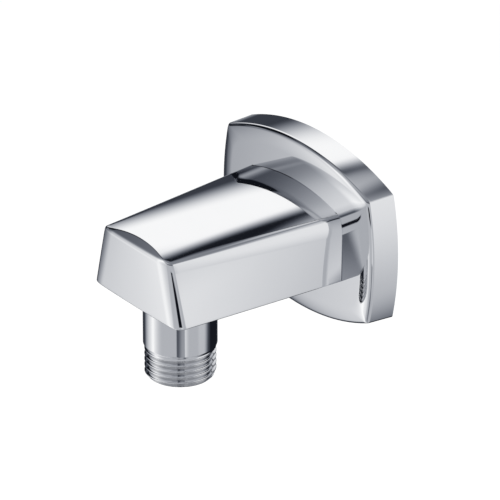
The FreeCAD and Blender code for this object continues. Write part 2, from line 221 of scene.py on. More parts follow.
def plate_ring(inset, corner, depth):
    """Bowed outline, moved in by inset, with rounded corners, at a depth from the wall."""
    side, top = SIDE_RADIUS - inset, TOP_RADIUS - inset
    corner_x, corner_z = crossing(0, TOP_CENTRE, top - corner, SIDE_CENTRE, 0, side - corner)
    side_angle = math.atan2(corner_z, corner_x - SIDE_CENTRE)
    top_angle = math.atan2(corner_z - TOP_CENTRE, corner_x)
    quarter = arc(SIDE_CENTRE, 0, side, 0, side_angle, SIDE_STEPS)
    quarter += arc(corner_x, corner_z, corner, side_angle, top_angle, CORNER_STEPS)
    quarter += arc(0, TOP_CENTRE, top, top_angle, math.pi / 2, TOP_STEPS)
    upper = quarter + [(0.0, TOP_CENTRE + top)] + [(-x, z) for x, z in reversed(quarter[1:])]
    left_middle = (-quarter[0][0], 0.0)
    lower = [(x, -z) for x, z in reversed(upper[1:])]
    return [(x, -depth, z) for x, z in upper + [left_middle] + lower]


def round_ring(radius, depth, like):
    """Circle about the inlet's axis with a point in line with each point of another ring."""
    angles = [math.atan2(z, x) for x, _, z in like]
    return [(radius * math.cos(angle), -depth, radius * math.sin(angle)) for angle in angles]


print("a plate ring has", len(plate_ring(0, 0.9, 0)), "points")

# %% [markdown]
# ## The cover plate
# The real plate is cast, ground and chromed: a drafted rim, a tight edge, a face that rolls off
# by a few degrees towards the edge, and a hollow back with a hub for the arm's spigot. The rings
# below walk once round that section, from the hub over the face and the rim to the hollow back.

# %% Rings over the face, the edge and the rim
PLATE_DRAFT = 0.35
PLATE_FACE_ROLL = 4.2
PLATE_FACE_ROLL_ANGLE = math.radians(14)
PLATE_EDGE_RADIUS = 1.3
PLATE_CORNER_RADIUS = 0.9
PLATE_CORNER_SPREAD = 1.3
HUB_INNER = 8.85
FACE_SHARES = (0.2, 0.45, 0.7, 0.9, 0.985)
RIM_SHARES = (0.02, 0.35, 0.7, 0.97, 1)
ROLL_STEPS = 14
EDGE_STEPS = 10

ROLL_RADIUS = PLATE_FACE_ROLL / math.sin(PLATE_FACE_ROLL_ANGLE)
ROLL_DROP = ROLL_RADIUS * (1 - math.cos(PLATE_FACE_ROLL_ANGLE))
RIM_DEPTH = PLATE_DEPTH - ROLL_DROP - PLATE_EDGE_RADIUS * math.cos(PLATE_FACE_ROLL_ANGLE)
TIGHT_WIDTH = PLATE_EDGE_RADIUS * (1 - math.sin(PLATE_FACE_ROLL_ANGLE))
FACE_EDGE = PLATE_DRAFT + TIGHT_WIDTH + PLATE_FACE_ROLL


def plate_corner(inset):
    """Corner radius of a ring; it opens out a little over the face."""
    return PLATE_CORNER_RADIUS + PLATE_CORNER_SPREAD * max(0.0, inset - PLATE_DRAFT)


def front_rings():
    """Rings from the hub's opening over the flat face, its roll and the edge to the rim's back."""
    edge_ring = plate_ring(FACE_EDGE, plate_corner(FACE_EDGE), PLATE_DEPTH)
    hub_ring = round_ring(HUB_INNER, PLATE_DEPTH, edge_ring)
    rings = [hub_ring]
    for share in FACE_SHARES:
        pairs = zip(hub_ring, edge_ring)
        rings.append([tuple(lerp(a, b, share) for a, b in zip(p, q)) for p, q in pairs])
    profile = []
    for i in range(ROLL_STEPS + 1):
        angle = PLATE_FACE_ROLL_ANGLE * i / ROLL_STEPS
        inset = FACE_EDGE - ROLL_RADIUS * math.sin(angle)
        profile.append((inset, PLATE_DEPTH - ROLL_RADIUS * (1 - math.cos(angle))))
    for i in range(1, EDGE_STEPS + 1):
        angle = lerp(PLATE_FACE_ROLL_ANGLE, math.pi / 2, i / EDGE_STEPS)
        inset = PLATE_DRAFT + PLATE_EDGE_RADIUS * (1 - math.sin(angle))
        profile.append((inset, RIM_DEPTH + PLATE_EDGE_RADIUS * math.cos(angle)))
    profile += [(PLATE_DRAFT * (1 - share), RIM_DEPTH * (1 - share)) for share in RIM_SHARES]
    return rings + [plate_ring(inset, plate_corner(inset), depth) for inset, depth in profile]


# %% Rings of the hollow back, and the finished plate
PLATE_RIM_WALL = 4.6
PLATE_FACE_WALL = 2.6
GASKET_WIDTH = 2.2
GASKET_DEPTH = 2.4
HUB_WALL = 1.8
HUB_BACK = 3.8
RING_SEAT = 10.58
RING_SEAT_END = 5.64


def back_rings(like):
    """Rings over the gasket seat, the hollow, the hub and its ring seat."""
    seat = PLATE_RIM_WALL - GASKET_WIDTH
    floor = PLATE_DEPTH - PLATE_FACE_WALL
    hub = RING_SEAT + HUB_WALL
    outline = ((seat, 0), (seat, GASKET_DEPTH), (PLATE_RIM_WALL, GASKET_DEPTH), (PLATE_RIM_WALL, floor))
    circles = ((hub, floor), (hub, HUB_BACK), (RING_SEAT, HUB_BACK),
               (RING_SEAT, RING_SEAT_END), (HUB_INNER, RING_SEAT_END))
    rings = [plate_ring(inset, PLATE_CORNER_RADIUS, depth) for inset, depth in outline]
    return rings + [round_ring(radius, depth, like) for radius, depth in circles]


plate_rings = front_rings()
plate_rings += back_rings(plate_rings[len(FACE_SHARES) + 1])
plate_points = [p for ring in plate_rings for p in ring]
plate_faces = grid_faces(len(plate_rings), len(plate_rings[0]), closed=True)
cover_plate = new_piece("cover_plate", plate_points, plate_faces)
report(cover_plate)

# %% [markdown]
# ## The arm's skin
# The arm runs in straight lines from a wide, softly crowned section at the plate to a narrower
# one at the front. Its side wall, the upright front corners and the front face are made as one
# sheet that bends round the front in a U. The crown is a second sheet, and a small round
# joins the two along the crest. The upright corners open out towards the foot.

# %% Sections of the arm
ARM_BOTTOM = 10.0
ARM_REACH = 67.4
CREST_REACH = {"at plate": 1.5, "midway": 2.3, "at corner": 1.5, "wall": 0.5, "front": 0.2}
CREST_MIDWAY = 0.8
CREST_FADE_COLUMNS = 9
ARM_FOOT_RADIUS = 0.4
WALL_SECTION = {"foot_x": 22.9, "edge_x": 22.0, "edge_z": 10.5, "crown": 3.65, "roll": 5.4, "inset": 1.2}
FRONT_SECTION = {"foot_x": 21.3, "edge_x": 15.9, "edge_z": 9.1, "crown": 1.75, "roll": 2.6, "inset": 0.9}


def section(t):
    """Sizes of the section a share t of the way from the plate to the front."""
    return {key: lerp(WALL_SECTION[key], FRONT_SECTION[key], t) for key in WALL_SECTION}


def share_out(y):
    """Share of the way from the plate to the front at a place y."""
    return (-y - PLATE_DEPTH) / (ARM_REACH - PLATE_DEPTH)


def crown_height(x, y):
    """Height of the crown over a place in plan."""
    s = section(share_out(y))
    radius = bow_radius(s["edge_x"], s["crown"])
    return s["edge_z"] + s["crown"] - radius + math.sqrt(radius ** 2 - x ** 2)


def side_point(t, level):
    """Point of the right wall; level 0 is the foot, 1 the start of the roll, and 2 the crest."""
    s = section(t)
    y = -lerp(PLATE_DEPTH, ARM_REACH, t)
    foot = Vector((s["foot_x"], y, -ARM_BOTTOM))
    start = Vector((s["edge_x"] + s["inset"], y, s["edge_z"] - s["roll"]))
    if level <= 1:
        return foot.lerp(start, level)
    edge = Vector((s["edge_x"], y, s["edge_z"]))
    up = (start - foot).normalized()
    inward = Vector((-up.z, 0, up.x))
    chord = edge - start
    radius = chord.length_squared / (2 * chord.dot(inward))
    angle = 2 * math.asin(chord.length / (2 * radius)) * (level - 1)
    return start + up * radius * math.sin(angle) + inward * radius * (1 - math.cos(angle))


# %% [markdown]
# The front of the real arm isn't flat: ground on a soft wheel, it bows a little in the middle and
# rolls back softly at both sides before the tight corner. At corner height it bends over a tight
# line, and a slanted lens runs from there up to the crown. So the place of the front is a rule of
# two numbers, the distance from the middle and the height.

# %% The rule of the front face
FRONT_BOW = 0.2
FRONT_SIDE_ROLL = 5.2
FRONT_SIDE_RADIUS = 16.0
FRONT_TOP_RADIUS = 1.6
FRONT_TOP_TURN = math.radians(55)
FRONT_TOP_START = FRONT_SECTION["edge_z"] - 0.75
FRONT_TOP_END = FRONT_TOP_START + FRONT_TOP_RADIUS * math.sin(FRONT_TOP_TURN)
ROLL_START = FRONT_SECTION["edge_z"] - FRONT_SECTION["roll"]


def front_half_width(z):
    """Distance from the middle of the front to where the wall would meet it, at a height."""
    climb = (z + ARM_BOTTOM) / (ROLL_START + ARM_BOTTOM)
    return lerp(FRONT_SECTION["foot_x"], FRONT_SECTION["edge_x"] + FRONT_SECTION["inset"], climb)


def front_turn(x, z):
    """Angle by which the front has turned back at a distance from the middle."""
    roll_from = front_half_width(z) - FRONT_SIDE_ROLL
    start = math.atan(2 * FRONT_BOW / roll_from)
    if x < roll_from:
        return math.atan(2 * FRONT_BOW * x / roll_from ** 2)
    return math.asin(math.sin(start) + (x - roll_from) / FRONT_SIDE_RADIUS)


def top_set_back(z):
    """How far the top of the front lies back at a height: first a tight bend, then a slant."""
    rise = max(0.0, min(z, FRONT_TOP_END) - FRONT_TOP_START)
    bend = FRONT_TOP_RADIUS - math.sqrt(FRONT_TOP_RADIUS ** 2 - rise ** 2)
    return bend + max(0.0, z - FRONT_TOP_END) * math.tan(FRONT_TOP_TURN)


def front_y(x, z):
    """Place of the front face at a distance from the middle and a height."""
    roll_from = front_half_width(z) - FRONT_SIDE_ROLL
    back = FRONT_BOW * (min(abs(x), roll_from) / roll_from) ** 2
    if abs(x) > roll_from:
        start = math.atan(2 * FRONT_BOW / roll_from)
        back += FRONT_SIDE_RADIUS * (math.cos(start) - math.cos(front_turn(abs(x), z)))
    return back + top_set_back(z) - ARM_REACH


# %% [markdown]
# Each row of the sheet is a U seen from above: straight along the wall, a round corner, and the
# curve of the front. The corner's arc has to touch both, so its touching point on the front is
# searched by halving until the arc's centre lies one radius inside the wall.

# %% The U that bends round the front
FRONT_CORNER_TOP = 1.9
FRONT_CORNER_FOOT = 3.2
SIDE_COLUMNS = 44
BEND_COLUMNS = 16
FRONT_COLUMNS = 34
FRONT_SPREAD = 1.4
HALVINGS = 40


def bend_radius(z):
    """Radius of the upright front corners at a height."""
    climb = (z + ARM_BOTTOM) / (FRONT_SECTION["edge_z"] + ARM_BOTTOM)
    return lerp(FRONT_CORNER_FOOT, FRONT_CORNER_TOP, min(1.0, max(0.0, climb)))


def bend_centre(x, z, radius):
    """Centre of an arc that touches the front at x, from inside."""
    back = front_turn(x, z)
    return Vector((x - radius * math.sin(back), front_y(x, z) + radius * math.cos(back), 0))


def half_u(level):
    """Points at one level: along the wall, round the corner and to the middle of the front."""
    back, ahead = side_point(0, level), side_point(1, level)
    run = (ahead - back) / math.hypot(ahead.x - back.x, ahead.y - back.y)
    inward = Vector((run.y, -run.x, 0))
    radius = bend_radius(ahead.z)
    near, far = ahead.x / 2, ahead.x
    for _ in range(HALVINGS):
        touch = (near + far) / 2
        centre = bend_centre(touch, ahead.z, radius)
        if (centre - ahead).dot(inward) > radius:
            near = touch
        else:
            far = touch
    begin = back + run * ((centre - back).dot(run - Vector((0, 0, run.z))))
    turned = math.pi / 2 - math.atan2(-run.x, -run.y) - front_turn(touch, ahead.z)
    row = [back.lerp(begin, i / SIDE_COLUMNS) for i in range(SIDE_COLUMNS)]
    for i in range(BEND_COLUMNS):
        angle = turned * i / BEND_COLUMNS
        row.append(begin + run * radius * math.sin(angle) + inward * radius * (1 - math.cos(angle)))
    level_z = begin.z + run.z * radius * math.sin(turned)
    for i in range(FRONT_COLUMNS + 1):
        x = touch * (1 - (i / FRONT_COLUMNS) ** FRONT_SPREAD)
        row.append(Vector((x, front_y(x, level_z), level_z)))
    return row


print("columns in half a U:", len(half_u(0)))

# %% [markdown]
# The top of the front follows the crown, so it is higher in the middle than at the corners. The
# rows above the bend are lifted for that, and fan out over the slanted lens. A lifted point slides
# on the front's own curve, so the lift moves the rows about without changing the face.


# %% Rows of the wall sheet
def front_share(column):
    """How far a column belongs to the front: 0 on the wall, 1 on the front face."""
    return smooth((column - SIDE_COLUMNS) / BEND_COLUMNS)


CREST_ROUNDS = 12


def crest_row():
    """The crest line itself, where the wall sheet would meet the crown."""
    row = []
    for column, point in enumerate(half_u(2)):
        share = front_share(column)
        x, y, z = point
        for _ in range(CREST_ROUNDS if share > 0 else 0):
            z = crown_height(x, y)
            y = point.y + share * (front_y(x, z) - front_y(x, point.z))
        row.append(Vector((x, y, z)))
    return row


CREST = crest_row()
PLAIN_CREST = half_u(2)
LIFT_FROM = 1 + (FRONT_TOP_START - ROLL_START) / FRONT_SECTION["roll"]


def wall_row(level):
    """One row of the wall sheet, lifted towards the crest."""
    rise = max(0.0, (level - LIFT_FROM) / (2 - LIFT_FROM))
    row = []
    for column, point in enumerate(half_u(level)):
        share = front_share(column)
        z = point.z + rise * (CREST[column].z - PLAIN_CREST[column].z)
        y = point.y + share * (front_y(point.x, z) - front_y(point.x, point.z))
        row.append(Vector((point.x, y, z)))
    return row


print("crest in the middle of the front:", [round(c, 2) for c in CREST[-1]])


# %% [markdown]
# The crest's round isn't even. The polisher lets the crown roll off gently towards the side walls
# and keeps the edge of the front crisp. A curve between two tangents with unequal legs does both.

# %% The round along the crest
FILLET_STEPS = 12
CREST_PROBE = 0.03


def plan_inward(row, column):
    """Level direction at right angles to a row, pointing into the arm."""
    before = row[max(0, column - 1)]
    after = row[column + 1] if column + 1 < len(row) else Vector((-before.x, before.y, before.z))
    along = after - before
    return Vector((along.y, -along.x, 0)).normalized()


def onto_crown(point, step):
    """Point of the crown a step away in plan."""
    x, y = point.x + step.x, point.y + step.y
    return Vector((x, y, crown_height(x, y)))


def bezier(a, b, c, t):
    """Curve from a to c that leaves and arrives along the lines to b."""
    return a * (1 - t) ** 2 + b * 2 * t * (1 - t) + c * t ** 2


def crest_reaches(column, y):
    """How far the crest's round reaches over the crown, and how far down the wall sheet."""
    out = min(1.0, share_out(y))
    past_middle = smooth((out - CREST_MIDWAY) / (1 - CREST_MIDWAY))
    over_crown = lerp(CREST_REACH["at plate"], CREST_REACH["midway"], smooth(out / CREST_MIDWAY))
    over_crown = lerp(over_crown, CREST_REACH["at corner"], past_middle)
    share = smooth((column - SIDE_COLUMNS - BEND_COLUMNS) / CREST_FADE_COLUMNS)
    front = CREST_REACH["front"]
    return lerp(over_crown, front, share), lerp(CREST_REACH["wall"], front, share)


def crest_starts():
    """Level on the wall sheet where the crest's round starts, column by column."""
    near = wall_row(2 - CREST_PROBE)
    top = wall_row(2)
    starts = []
    for column, crest in enumerate(top):
        reach = crest_reaches(column, crest.y)[1]
        starts.append(2 - CREST_PROBE * reach / (crest - near[column]).length)
    return starts


def fillet_rows():
    """Rows over the crest's round, the last of them on the crown."""
    starts = crest_starts()
    top = wall_row(2)
    first = [wall_row(level)[column] for column, level in enumerate(starts)]
    last = [onto_crown(crest, plan_inward(top, column) * crest_reaches(column, crest.y)[0])
            for column, crest in enumerate(top)]
    last[-1] = onto_crown(top[-1], Vector((0, CREST_REACH["front"], 0)))
    rows = []
    for i in range(FILLET_STEPS + 1):
        share = i / FILLET_STEPS
        rows.append([bezier(a, b, c, share) for a, b, c in zip(first, top, last)])
    return rows, starts


# %% All the rows of the wall sheet, from the foot to the crown
FOOT_STEPS = 5
PLAIN_LEVELS = [0.06] + [i / 14 for i in range(2, 14)] + [0.985]
ROLL_LEVELS = [1 + i / 36 for i in range(36)]


def foot_rows(lowest):
    """Rows of the small round at the foot, from the underside up to the wall."""
    rows = []
    for i in range(FOOT_STEPS):
        angle = math.pi / 2 * i / FOOT_STEPS
        inset = ARM_FOOT_RADIUS * (1 - math.sin(angle))
        drop = ARM_FOOT_RADIUS * (1 - math.cos(angle)) - ARM_BOTTOM
        row = []
        for column, point in enumerate(lowest):
            moved = point + plan_inward(lowest, column) * inset
            row.append(Vector((moved.x, moved.y, drop)))
        row[-1].x = 0
        rows.append(row)
    return rows


def wall_rows():
    """Every row of the wall sheet, on the arm's right half."""
    rounds, starts = fillet_rows()
    lowest = wall_row(ARM_FOOT_RADIUS / (ROLL_START + ARM_BOTTOM))
    rows = foot_rows(lowest) + [lowest] + [wall_row(level) for level in PLAIN_LEVELS]
    for level in ROLL_LEVELS:
        fitted = [1 + (level - 1) * (start - 1) for start in starts]
        rows.append([wall_row(fit)[column] for column, fit in enumerate(fitted)])
    return rows + rounds


right_rows = wall_rows()
for row in right_rows:
    row[0].y = -PLATE_DEPTH
print("wall sheet:", len(right_rows), "rows of", len(right_rows[0]), "points")

# %% [markdown]
# The crown is a grid of rows across the arm, straight near the plate and bending into the
# rounded front. Both ends of every row are points of the crest's round, so the two sheets share
# their edge and merge into one skin. The underside and the back are flat and need one face each.


# %% Rows of the crown
BEND_ROWS = 12


def mirrored(point):
    """The same point on the left side."""
    return Vector((-point.x, point.y, point.z))


def with_mirror(row):
    """A row up to the middle, and on to the left side."""
    return row + [mirrored(p) for p in reversed(row[:-1])]


def crown_rows(edge):
    """Rows across the crown, from the plate to the round at the front."""
    front = with_mirror(edge[SIDE_COLUMNS:])
    tangent = edge[SIDE_COLUMNS]
    rows = []
    for k in range(SIDE_COLUMNS + 1):
        side = edge[k]
        bend = max(0.0, (k - SIDE_COLUMNS + BEND_ROWS) / BEND_ROWS) ** 2
        row = []
        for point in front:
            x = side.x * point.x / tangent.x
            y = side.y + bend * (point.y - tangent.y)
            row.append(Vector((x, y, crown_height(x, y))))
        row[0], row[-1] = side.copy(), mirrored(side)
        rows.append(row)
    rows[-1] = front
    return rows


# %% The arm's outside as one closed skin
def arm_skin():
    """Wall sheet, crown, underside and back, joined by merging their shared points."""
    full = [with_mirror(row) for row in right_rows]
    points = [p for row in full for p in row]
    faces = grid_faces(len(full), len(full[0]), around=False)
    crown = crown_rows(right_rows[-1])
    faces += grid_faces(len(crown), len(crown[0]), len(points), around=False)
    points += [p for row in crown for p in row]
    underside = len(points)
    points += full[0]
    faces.append(tuple(range(underside, len(points))))
    back = len(points)
    points += [row[0] for row in full] + crown[0][1:-1] + [row[-1] for row in reversed(full)]
    faces.append(tuple(range(back, len(points))))
    return new_piece("elbow_arm", points, faces)


elbow_arm = arm_skin()
report(elbow_arm)

# %% [markdown]
# Where the arm meets the plate, both are finished parts, so the arm's rear edge isn't knife-sharp.
# The buffing wheel has broken it, and that draws the fine dark line round the foot of the arm.

# %% The broken rear edge of the arm
REAR_EDGE_BREAK = 0.2


def break_rear_edge(piece):
    """Bevel the edges of the flat face that lies against the plate."""
    work = bmesh.new()
    work.from_mesh(piece.data)
    rear = max(work.faces, key=lambda face: face.calc_center_median().y)
    bmesh.ops.bevel(work, geom=list(rear.edges), offset=REAR_EDGE_BREAK * MM, segments=1, affect="EDGES")
    work.to_mesh(piece.data)
    work.free()


break_rear_edge(elbow_arm)
clean(elbow_arm)
report(elbow_arm)

# %% [markdown]
# ## Bores in the arm
# The casting is bored from behind for the connector and from below for the outlet, and a small
# hole takes the locking screw. Each bore is a turned shape cut out of the skin with a Boolean,
# which is how the drill does it too.

# %% Turned tools for the bores
OUTLET_Y = 51.0
TOOL_STEPS = 96


def turned(name, profile, y_out=None):
    """Closed turned shape; along Y, or upright at y_out. The profile lists radius and place."""
    points = []
    for radius, place in profile:
        for i in range(TOOL_STEPS):
            angle = 2 * math.pi * i / TOOL_STEPS
            c, s = radius * math.cos(angle), radius * math.sin(angle)
            points.append((c, -place, s) if y_out is None else (c, s - y_out, place))
    faces = grid_faces(len(profile), TOOL_STEPS)
    faces.append(tuple(range(TOOL_STEPS)))
    faces.append(tuple(range(len(points) - TOOL_STEPS, len(points))))
    return new_piece(name, points, faces)


def join(piece, tool, operation):
    """Add a tool's shape to a piece or cut it out, and put the tool away."""
    step = piece.modifiers.new("bore", "BOOLEAN")
    step.operation = operation
    step.solver = "EXACT"
    step.object = tool
    settle(piece)
    bpy.data.objects.remove(tool)


# %% The spigot is added, then the bores are cut
SPIGOT_BACK = 3.3
SPIGOT_RADIUS = 8.7
SOCKET_RADIUS = 7.08
SOCKET_END = 33.4
WATERWAY_RADIUS = 4.5
OUTLET_SEAT = ((9.78, -11), (9.78, -8.52), (8.36, -8.52), (8.36, -2.1))
CHAMBER_RADIUS = 6
CHAMBER_TOP = 4
CHAMBER_DOME = range(10, 86, 15)
CONNECTOR_END = 33
SCREW_HOLE_RADIUS = 2.55
SCREW_Y = 16

join(elbow_arm, turned("spigot", [(SPIGOT_RADIUS, SPIGOT_BACK), (SPIGOT_RADIUS, 12)]), "UNION")
join(elbow_arm, turned("socket", [(SOCKET_RADIUS, 2), (SOCKET_RADIUS, SOCKET_END)]), "DIFFERENCE")
waterway = [(WATERWAY_RADIUS, CONNECTOR_END), (WATERWAY_RADIUS, OUTLET_Y)]
join(elbow_arm, turned("waterway", waterway), "DIFFERENCE")
chamber = [*OUTLET_SEAT, (CHAMBER_RADIUS, OUTLET_SEAT[-1][1]), (CHAMBER_RADIUS, CHAMBER_TOP)]
for degrees in CHAMBER_DOME:
    angle = math.radians(degrees)
    chamber.append((CHAMBER_RADIUS * math.cos(angle), CHAMBER_TOP + CHAMBER_RADIUS * math.sin(angle)))
join(elbow_arm, turned("chamber", chamber, OUTLET_Y), "DIFFERENCE")
screw_hole = [(SCREW_HOLE_RADIUS, -11), (SCREW_HOLE_RADIUS, 0)]
join(elbow_arm, turned("screw_hole", screw_hole, SCREW_Y), "DIFFERENCE")
clean(elbow_arm)
report(elbow_arm)

# %% [markdown]
# ## Rules as node trees
# The threads, the studio and the finishes are all rules, and in Blender a rule is a tree of nodes.
# These few helpers let a rule be written as plain arithmetic: each sum or product of two values
# adds one math node to the tree that the values belong to.

# %% Values of a node tree
class Value:
    """Socket of a node tree; working with it adds math nodes to the tree."""

    def __init__(self, socket):
        self.socket, self.tree = socket, socket.id_data

    def math(self, operation, *others):
        """Result of a math node on this value and others."""
        feeds = dict(enumerate((self, *others)))
        return Value(add_node(self.tree, "ShaderNodeMath", feeds, operation=operation).outputs[0])

    def __add__(self, other):
        return self.math("ADD", other)

    def __sub__(self, other):
        return self.math("SUBTRACT", other)

    def __mul__(self, other):
        return self.math("MULTIPLY", other)

    def __truediv__(self, other):
        return self.math("DIVIDE", other)


def plug(value, slot):
    """Feed a socket from a number, a colour, another socket or a value of the tree."""
    value = value.socket if isinstance(value, Value) else value
    if isinstance(value, bpy.types.NodeSocket):
        slot.id_data.links.new(value, slot)
    else:
        slot.default_value = value


def add_node(tree, kind, feeds=None, **settings):
    """New node in a tree, with its settings and what feeds its sockets."""
    node = tree.nodes.new(kind)
    for key, value in settings.items():
        setattr(node, key, value)
    for label, value in (feeds or {}).items():
        plug(value, node.inputs[label])
    return node


def split(vector):
    """The three numbers of a vector."""
    parts = add_node(vector.tree, "ShaderNodeSeparateXYZ", {0: vector})
    return [Value(socket) for socket in parts.outputs]


def eased(value, low, high, to_low=0.0, to_high=1.0):
    """Value mapped smoothly from one range to another."""
    feeds = dict(enumerate((value, low, high, to_low, to_high)))
    eased_map = add_node(value.tree, "ShaderNodeMapRange", feeds, interpolation_type="SMOOTHSTEP")
    return Value(eased_map.outputs[0])


# %% Node groups with named inputs and outputs
SOCKET_KINDS = {int: "Int", float: "Float", tuple: "Vector", str: "Material"}


def new_group(name, inputs, outputs, tree_kind="ShaderNodeTree", result="NodeSocketFloat"):
    """Empty node group; gives the tree, its inputs as values and its outputs' sockets."""
    tree = bpy.data.node_groups.new(name, tree_kind)
    for label, value in inputs.items():
        kind = "NodeSocket" + SOCKET_KINDS[type(value)]
        slot = tree.interface.new_socket(label, in_out="INPUT", socket_type=kind)
        if not isinstance(value, str):
            slot.default_value = value
    for label in outputs:
        tree.interface.new_socket(label, in_out="OUTPUT", socket_type=result)
    sources = add_node(tree, "NodeGroupInput").outputs
    given = {socket.name: Value(socket) for socket in sources if socket.name}
    return tree, given, add_node(tree, "NodeGroupOutput").inputs


# %% [markdown]
# ## The pipe thread
# Both ends carry the half-inch parallel pipe thread: 14 turns to the inch, right-handed, with
# rounded crests and roots. Geometry Nodes wind it: a flat grid is bent round the axis, its rows
# follow the helix, and each point's radius comes from how far it lies from the nearest crest.
# Rows past either end are clamped there and merge into a clean rim.

# %% The thread as a node tree
PITCH = 1.814
THREAD_RADIUS = 10.4775
THREAD_DEPTH = 1.162
FLANK = 1.921
SEGMENTS = 192
ROWS_PER_TURN = 24
SAME_POINT = 1e-6
THREAD_SIZES = {
    "Segments": SEGMENTS, "Rows Per Turn": ROWS_PER_TURN, "Crest Radius": THREAD_RADIUS * MM,
    "Depth": THREAD_DEPTH * MM, "Pitch": PITCH * MM, "Length": 0.01, "Run Out": 0.001,
    "End Chamfer": 0.001, "Mouth Radius": 0.007, "Start Angle": 0.0, "Finish": "material",
}


def thread_tree():
    """Geometry Nodes tree that winds a helical thread with a closed end face."""
    kinds = "GeometryNodeTree", "NodeSocketGeometry"
    tree, given, result = new_group("pipe_thread", THREAD_SIZES, ["Geometry"], *kinds)
    segments, per_turn, crest = given["Segments"], given["Rows Per Turn"], given["Crest Radius"]
    depth, pitch, length = given["Depth"], given["Pitch"], given["Length"]

    # A grid one unit wide: across it once round the thread, along it all the rows
    last_row = (length / pitch * per_turn).math("CEIL") + per_turn + 1
    counts = {"Size X": 1, "Size Y": 1, "Vertices X": segments + 1, "Vertices Y": last_row + 1}
    grid = add_node(tree, "GeometryNodeMeshGrid", counts)
    x, y, _ = split(Value(add_node(tree, "GeometryNodeInputPosition").outputs[0]))
    row = ((y + 0.5) * last_row).math("ROUND")
    around = ((x + 0.5) * segments).math("ROUND") / segments

    # Rows climb one pitch in a turn and are held between the two ends
    climbed = (row / per_turn + around - 1) * pitch
    height = climbed.math("MAXIMUM", 0).math("MINIMUM", length)

    # Distance to the nearest crest gives the depth of the groove, rounded at crest and root
    phase = (height / pitch - around + given["Start Angle"]).math("FRACT")
    from_crest = (phase - 0.5).math("ABSOLUTE") * pitch
    soft = depth * 0.4
    groove = (from_crest * FLANK - depth * 0.25).math("SMOOTH_MAX", 0, soft).math("SMOOTH_MIN", depth, soft)

    # The groove fades in behind the shank, and the free end is chamfered
    cut_radius = crest - groove * eased(height, 0, given["Run Out"])
    wall = cut_radius.math("MINIMUM", crest - given["End Chamfer"] + (length - height))

    # The last row runs in over the end face to the bore's mouth
    radius = wall + row.math("GREATER_THAN", last_row - 0.5) * (given["Mouth Radius"] - wall)
    angle = around * (2 * math.pi)
    place = {"X": radius * angle.math("COSINE"), "Y": radius * angle.math("SINE"), "Z": height}
    spot = add_node(tree, "ShaderNodeCombineXYZ", place).outputs[0]
    wound = add_node(tree, "GeometryNodeSetPosition", {"Geometry": grid.outputs["Mesh"], "Position": spot})
    feeds = {"Geometry": wound.outputs[0], "Distance": SAME_POINT}
    merged = add_node(tree, "GeometryNodeMergeByDistance", feeds)
    real = add_node(tree, "GeometryNodeRealizeInstances", {0: merged.outputs[0]})
    feeds = {"Geometry": real.outputs[0], "Material": given["Finish"]}
    plug(add_node(tree, "GeometryNodeSetMaterial", feeds).outputs[0], result[0])
    return tree


PIPE_THREAD = thread_tree()
print("thread tree:", len(PIPE_THREAD.nodes), "nodes")


# %% A wound thread, as points and faces
def wound_thread(length, run_out, mouth, finish):
    """Points and faces of a thread along Z, in millimetres; a crest lies half a turn off its end."""
    carrier = add_object("thread", bpy.data.meshes.new("thread"))
    winding = carrier.modifiers.new("winding", "NODES")
    winding.node_group = PIPE_THREAD
    values = {
        **THREAD_SIZES, "Length": length * MM, "Run Out": run_out * MM, "Mouth Radius": mouth * MM,
        "Start Angle": -(length / PITCH + 0.5) % 1, "Finish": finish,
    }
    for socket in PIPE_THREAD.interface.items_tree:
        if socket.name in values:
            winding[socket.identifier] = values[socket.name]
    settle(carrier)
    points = [v.co / MM for v in carrier.data.vertices]
    faces = [tuple(f.vertices) for f in carrier.data.polygons]
    bpy.data.objects.remove(carrier)
    return points, faces


# %% [markdown]
# ## The outlet tube
# It is turned from bar: a spigot that sits in the arm, a smooth shank, the hose thread, and a
# bore with a hexagon in it for the key that tightens it. One chain of rings runs from the mouth
# up the bore and down the outside, and the thread joins its two ends.

# %% Rings for turned pieces, and a piece with a thread
def tube_ring(radius, height):
    """Circle about the tube's axis at a height."""
    angles = [2 * math.pi * i / SEGMENTS for i in range(SEGMENTS)]
    return [Vector((radius * math.cos(angle), radius * math.sin(angle), height)) for angle in angles]


def key_ring(across, height_at):
    """Ring with six flats for a key; its height follows the distance from the axis."""
    ring = []
    for i, point in enumerate(tube_ring(1, 0)):
        from_flat = (2 * math.pi * i / SEGMENTS) % (math.pi / 3) - math.pi / 6
        radius = across / 2 / math.cos(from_flat)
        ring.append(Vector((point.x * radius, point.y * radius, height_at(radius))))
    return ring


def threaded_piece(name, rings, thread, thread_from, place):
    """Closed piece of rings and a thread, built along Z and then placed on the elbow."""
    points = [p for ring in rings for p in ring]
    faces = grid_faces(len(rings), SEGMENTS)
    wound_points, wound_faces = thread
    faces += [tuple(i + len(points) for i in face) for face in wound_faces]
    points += [Vector((p.x, p.y, p.z + thread_from)) for p in wound_points]
    return new_piece(name, [place(p) for p in points], faces)


# %% The outlet tube's rings and thread
OUTLET_END = ARM_BOTTOM + 26.3
OUTLET_THREAD_LENGTH = 9.9
OUTLET_RUN_OUT = 1.4
OUTLET_SHANK_RADIUS = 10.85
OUTLET_SPIGOT_RADIUS = 8.3
OUTLET_SPIGOT_LENGTH = 7.5
OUTLET_CHAMFER = 0.6
OUTLET_BORE = 6.9
OUTLET_BORE_DEPTH = 14
OUTLET_KEY = 10.0
OUTLET_KEY_LAND = 0.2
SHANK_RINGS = (4, 10)
STEP_INSET = 0.04
STEP_BREAK = 0.15
STEP_FOOT = 0.12
THREAD_FINISH = bpy.data.materials.new("thread_finish")


